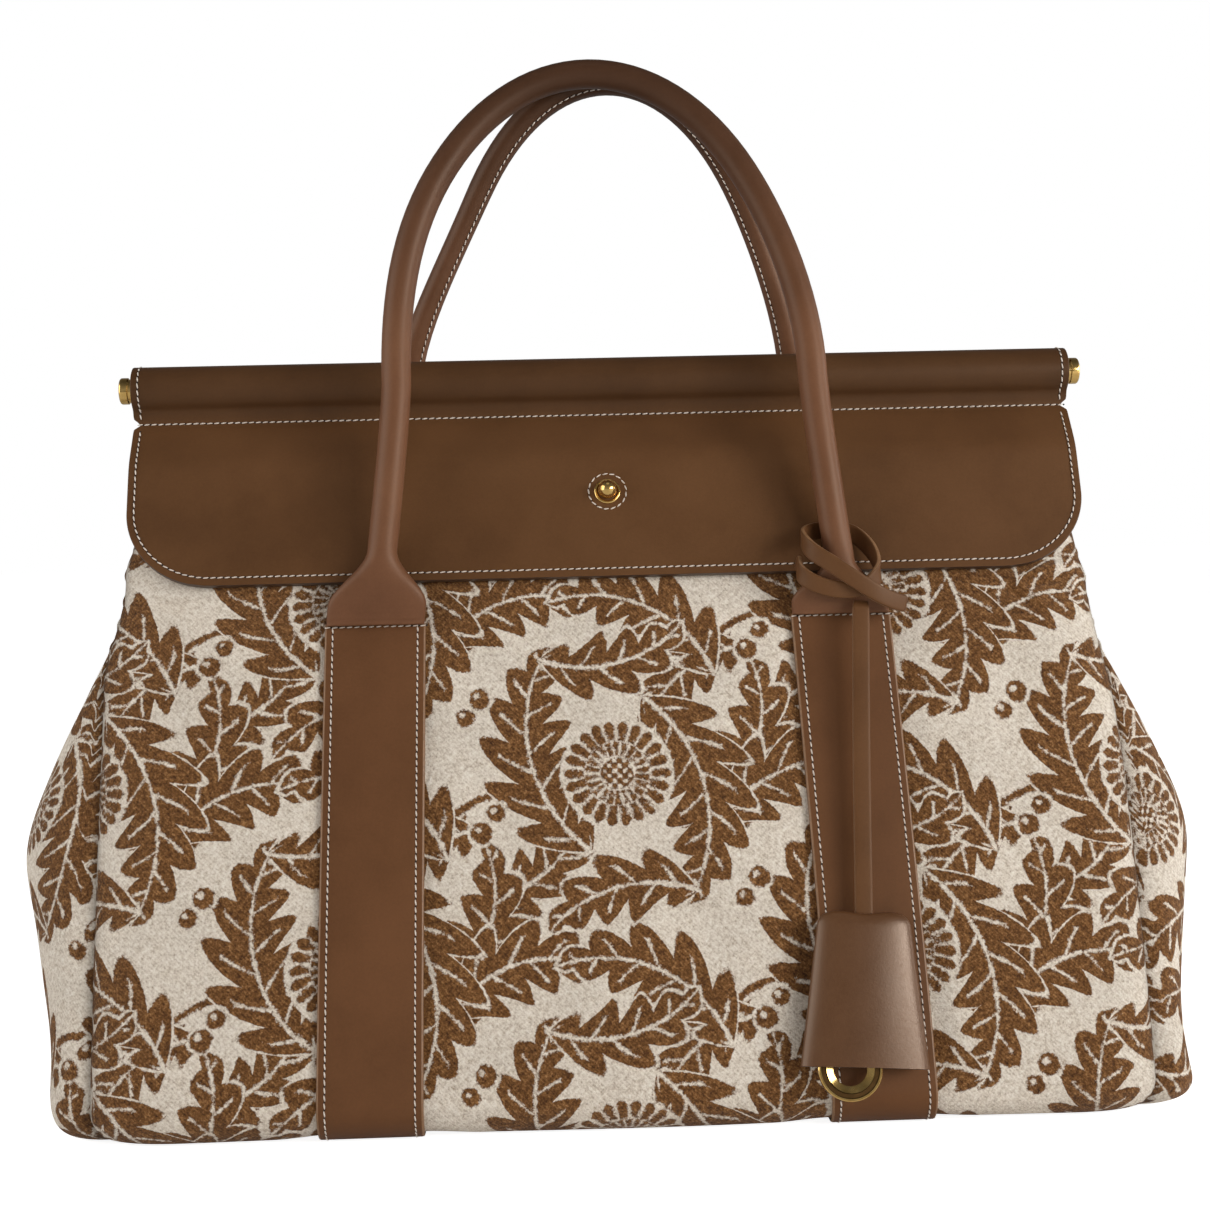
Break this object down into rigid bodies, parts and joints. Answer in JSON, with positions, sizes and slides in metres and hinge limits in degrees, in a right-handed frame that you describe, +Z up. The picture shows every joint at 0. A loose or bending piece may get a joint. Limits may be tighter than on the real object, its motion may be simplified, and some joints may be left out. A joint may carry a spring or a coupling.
{
  "type": "handbag",
  "caption": "Satchel handbag: leaf-patterned woollen body, leather flap over a top rod, rolled tip-over handles, straps round the base, and a leather bell sliding on a lace.",
  "frame": {"origin": "middle of the base, on the surface the bag stands on", "axes": "+X along the bag's length to its right as seen from the front, +Y to the back, +Z up; the front with the flap faces -Y"},
  "size_m": [0.5, 0.2064, 0.4449],
  "materials": {
    "wool_jacquard": "woven woollen jacquard, fuzzy, matte, brown foliage on cream",
    "lining_cloth": "plain woven cotton, matte",
    "board": "stiff fibre board, matte",
    "calf_leather": "smooth calf leather, soft satin, fine grain, painted edges",
    "rod_steel": "drawn steel tube",
    "gold_metal": "polished gold plating"
  },
  "bodies": {
    "bag": {"front_panel": "wool_jacquard", "back_panel": "wool_jacquard", "left_gusset": "wool_jacquard", "right_gusset": "wool_jacquard", "base_panel": "wool_jacquard", "lining": "lining_cloth", "base_board": "board", "front_facing": "calf_leather", "back_facing": "calf_leather", "left_strap": "calf_leather", "right_strap": "calf_leather", "flap": "calf_leather", "flap_lining": "calf_leather", "top_rod": "rod_steel", "left_rod_cap": "gold_metal", "right_rod_cap": "gold_metal", "ball_stud": "gold_metal", "stud_washer": "gold_metal", "flap_eyelet": "gold_metal", "lace_strand": "calf_leather", "lace_ring": "gold_metal"},
    "front_handle": {"front_handle": "calf_leather", "lace_knot": "calf_leather"},
    "back_handle": {"back_handle": "calf_leather"},
    "clochette": {"clochette": "calf_leather"}
  },
  "joints": [
    {"name": "front_handle_tip", "type": "hinge", "parent": "bag", "child": "front_handle", "pos_m": [0, -0.0436, 0.203], "axis": [1, 0, 0], "range_deg": [0, 100], "deforming": ["lace_strand"]},
    {"name": "back_handle_tip", "type": "hinge", "parent": "bag", "child": "back_handle", "pos_m": [0, 0.0436, 0.203], "axis": [-1, 0, 0], "range_deg": [0, 100]},
    {"name": "clochette_slide", "type": "slide", "parent": "bag", "child": "clochette", "axis": [0.0566, 0.2777, 0.959], "range_m": [0, 0.06]}
  ]
}
